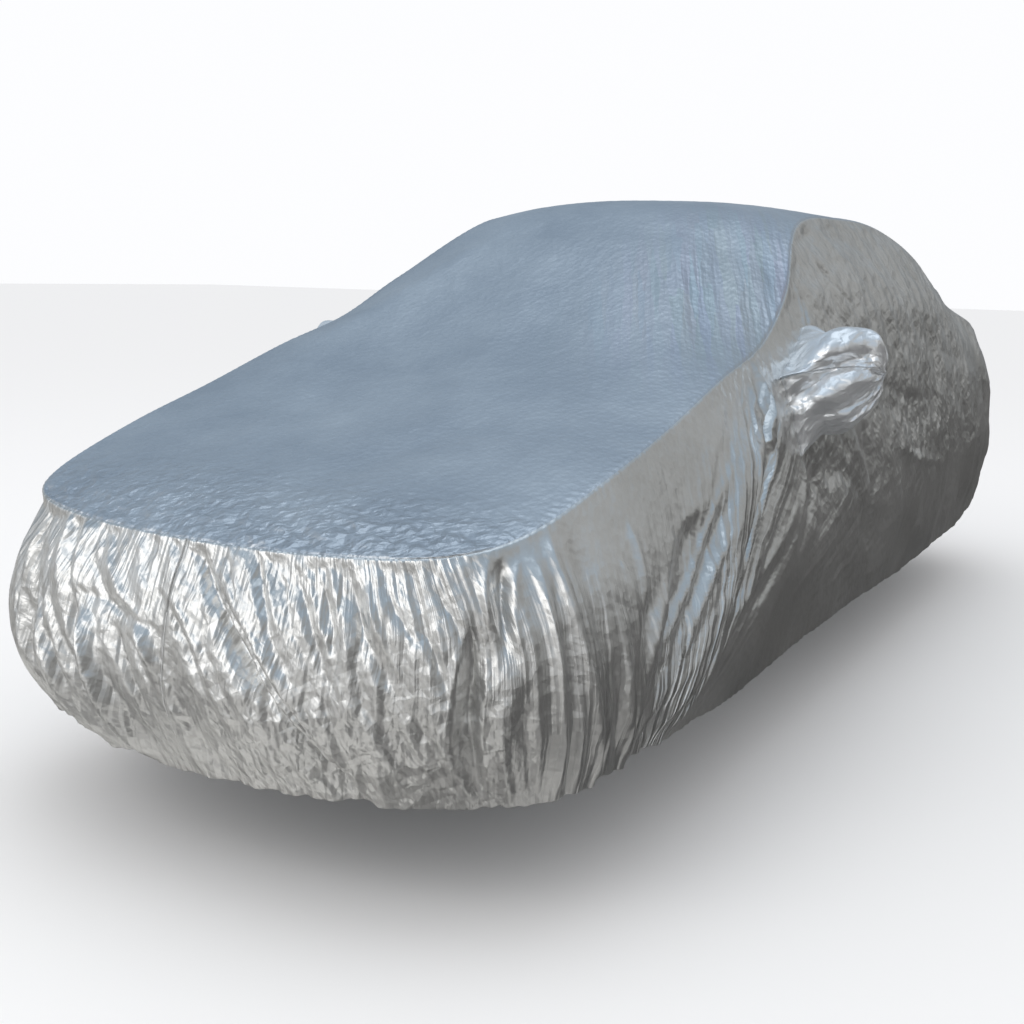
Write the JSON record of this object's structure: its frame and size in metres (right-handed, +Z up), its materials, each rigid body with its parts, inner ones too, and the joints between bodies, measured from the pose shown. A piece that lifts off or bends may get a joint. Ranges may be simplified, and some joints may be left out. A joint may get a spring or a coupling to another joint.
{
  "type": "car cover",
  "caption": "Fitted car cover of thin silvery film: a long top panel, side panels with gathered folds and an elastic hem, and a pocket over each door mirror, draped as on a saloon.",
  "frame": {"origin": "the place where the car's roof holds the cover up, on the inner face of the roof film, in the middle across the car", "axes": "+Y runs to the back of the car, +X to the car's left and +Z up"},
  "size_m": [1.9362, 4.5096, 1.2775],
  "materials": {
    "silver_film": "silvery metallised film, crinkled, half gloss",
    "pocket_film": "brighter silvery metallised film, strongly creased, glossy"
  },
  "bodies": {
    "root": {"top_panel": "silver_film", "side_panel_left": "silver_film", "side_panel_right": "silver_film", "mirror_pocket_left": "pocket_film", "mirror_pocket_right": "pocket_film"}
  },
  "joints": []
}
